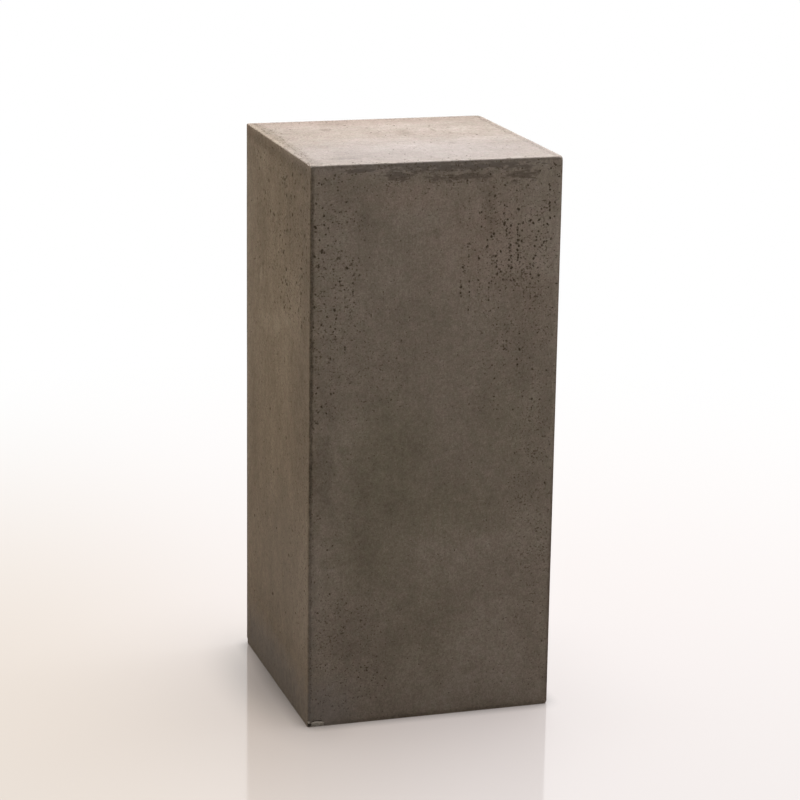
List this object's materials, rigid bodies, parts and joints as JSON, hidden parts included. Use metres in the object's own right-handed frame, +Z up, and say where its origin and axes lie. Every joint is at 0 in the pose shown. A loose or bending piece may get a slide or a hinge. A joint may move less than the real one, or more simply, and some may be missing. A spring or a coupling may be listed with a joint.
{
  "type": "square concrete column",
  "caption": "Plain square column of cast concrete with eased edges and air voids, a free-standing display pedestal.",
  "frame": {"origin": "centre of the flat underside that the column stands on", "axes": "+Z up along the column; -Y out of the front face, the one with the stained band under its top edge; +X to the right of that face"},
  "size_m": [0.34, 0.34, 0.76],
  "materials": {
    "concrete": "matt cast concrete with air voids and darker stains"
  },
  "bodies": {
    "root": {"column": "concrete"}
  },
  "joints": []
}
